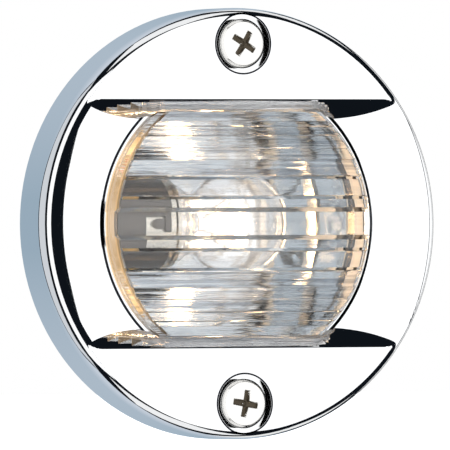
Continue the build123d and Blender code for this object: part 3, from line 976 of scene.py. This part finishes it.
lamp = bpy.data.lights.new("filament_glow", "POINT")
lamp.energy = GLOW_WATTS
lamp.color = GLOW_COLOUR
lamp.shadow_soft_size = GLOW_RADIUS * MM
glow = bpy.data.objects.new("filament_glow", lamp)
glow.location = middle * MM
bpy.context.scene.collection.objects.link(glow)
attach(glow, "bulb")
print("lamp at", [round(v, 1) for v in middle], "mm")

# %% [markdown]
# ### Spring and leads
#
# The contact carrier moves when the bulb is pushed in, and each lead runs between the housing and
# the carrier. Their packed shapes are right, but a imported mesh may not bend, so copies stand in
# for them. The spring's copy rides on the housing.


# %% Spring and leads
# Imported node, finish and material slot.
LEADS = (("lead_positive", red_pvc, "red_pvc"), ("lead_negative", black_pvc, "black_pvc"))


def seen_copy(node, material):
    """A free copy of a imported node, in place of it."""
    piece = bpy.data.objects.new(node + "_seen", nodes[node].data.copy())
    bpy.context.scene.collection.objects.link(piece)
    piece.data.materials.clear()
    piece.data.materials.append(material)
    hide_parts(node)
    return piece


low, high = low_high("contact_spring")
spring = seen_copy("contact_spring", spring_wire)
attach(spring, "housing")
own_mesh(spring)
for node, material, slot in LEADS:
    lead = seen_copy(node, material)
    low, high = low_high(node)
    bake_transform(lead)

# %% [markdown]
# ### The lens
#
# The prisms end a little inside the lens's rim and leave a smooth border round them, so the
# outline seen from the side is a clean curve. Modelling the whole lens again would risk its fit
# in the window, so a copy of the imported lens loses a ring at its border. The cut leaves many
# tiny flat faces in one plane, which are then joined.


# %% Helpers for the cut
CUTTER_AROUND = 160
MERGE_DISTANCE, FLAT_ANGLE = 0.002, 0.5


def annulus(name, inner, outer, front, behind):
    """A ring-shaped solid round the Y axis, between two levels in front of the mounting face."""
    corners = [(inner, -front), (outer, -front), (outer, -behind), (inner, -behind)]
    points = []
    for j in range(CUTTER_AROUND):
        angle = 2 * math.pi * j / CUTTER_AROUND
        for r, y in corners:
            points.append((r * math.cos(angle), y, r * math.sin(angle)))
    faces = []
    for j in range(CUTTER_AROUND):
        k = (j + 1) % CUTTER_AROUND
        for i in range(4):
            n = (i + 1) % 4
            faces.append((j * 4 + i, k * 4 + i, k * 4 + n, j * 4 + n))
    return new_mesh(name, points, faces, smooth=False)


def edit_mesh(piece, change):
    """Run change(bm) on an object's mesh."""
    bm = bmesh.new()
    bm.from_mesh(piece.data)
    change(bm)
    bm.to_mesh(piece.data)
    bm.free()


def face_outwards(bm):
    """Turn every face outwards, as the boolean cut needs."""
    bmesh.ops.recalc_face_normals(bm, faces=bm.faces)


def join_flat_faces(bm):
    """Merge points that all but touch, then faces that lie in one plane."""
    bmesh.ops.remove_doubles(bm, verts=bm.verts, dist=MERGE_DISTANCE * MM)
    bmesh.ops.dissolve_limit(
        bm, angle_limit=math.radians(FLAT_ANGLE), verts=bm.verts, edges=bm.edges
    )


def with_modifiers_applied(piece):
    """Replace an object's mesh with what its modifiers make of it."""
    bpy.context.view_layer.update()
    graph = bpy.context.evaluated_depsgraph_get()
    mesh = bpy.data.meshes.new_from_object(piece.evaluated_get(graph))
    piece.modifiers.clear()
    piece.data = mesh


# %% Lens
BORDER_DEPTH = 1.9  # from the front of the prisms back to the smooth border

lens = seen_copy("lens", clear_lens)
lens_front = -lens_low.y
cutter = annulus("cutter", rib_end_r, rib_end_r + 3, lens_front + 1, lens_front - BORDER_DEPTH)
edit_mesh(cutter, face_outwards)
cut = lens.modifiers.new("cut", "BOOLEAN")
cut.operation = "DIFFERENCE"
cut.solver = "EXACT"
cut.object = cutter
with_modifiers_applied(lens)
bpy.data.objects.remove(cutter)
edit_mesh(lens, join_flat_faces)
lens.data.polygons.foreach_set("use_smooth", [False] * len(lens.data.polygons))
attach(lens, "cover")
print("lens", len(lens.data.polygons), "faces")

# %% [markdown]
# ## Dark lines on the chrome
#
# A polished edge with a small round mirrors the dark gap beside the lights, so a thin dark line
# follows it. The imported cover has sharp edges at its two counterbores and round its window, and
# its mesh may not be changed, so rings in the base colour stand for those lines. The line round
# the window ends where the channel's walls begin.

# %% Dark lines
COUNTERBORE_LINE = (5.17, 5.47)  # inner and outer radius
WINDOW_LINE = (26.0, 26.4)
CHANNEL_SHARE = 0.592  # height of the channel's wall over the height of the screws
CHROME, LINE_BLACK = (0.90, 0.91, 0.92), (0.012, 0.013, 0.018)

tree, shader = tree_and_shader(chrome)
screw_low, screw_high = low_high("screw_top")
screw_z = (screw_low.z + screw_high.z) / 2
counterbore_line = ring_value(tree, screw_z, *COUNTERBORE_LINE)
window_line = ring_value(tree, 0.0, *WINDOW_LINE)
height = math_node(tree, "ABSOLUTE", own_place(tree)["Z"])
between_walls = math_node(tree, "LESS_THAN", height, screw_z * CHANNEL_SHARE * MM)
window_line = math_node(tree, "MULTIPLY", window_line, between_walls)
line = math_node(tree, "MAXIMUM", counterbore_line, window_line)
tree.links.new(two_colours(tree, line, CHROME, LINE_BLACK), shader.inputs["Base Color"])
print("screws at z", round(screw_z, 2), "mm, channel walls at", round(screw_z * CHANNEL_SHARE, 2))

# %% [markdown]
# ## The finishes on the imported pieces
#
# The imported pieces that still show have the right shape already, so each only gets its finish.
# A new material goes in their first slot, and their meshes stay as they are.

# %% Paint
PAINTED = {
    "cover": chrome, "housing": white_plastic, "mounting_gasket": rubber,
    "lens_gasket": rubber, "reflector": bright_sheet, "socket_shell": darkened,
    "socket_bracket": nickel, "bracket_rivets": brass, "contact_carrier": fibre,
    "contact_tips": brass, "bulb_glass": bulb_glass,
    "bulb_base": nickel, "bulb_pins": darkened, "bulb_insulator": insulator,
    "bulb_contacts": solder, "bulb_stem": stem_glass, "filament_supports": spring_wire,
    "terminal_washers": stainless, "terminal_nuts": stainless, "lead_lugs": tinned,
}
for node, material in PAINTED.items():
    nodes[node].data.materials.clear()
    nodes[node].data.materials.append(material)
print("painted", len(PAINTED), "packed pieces")
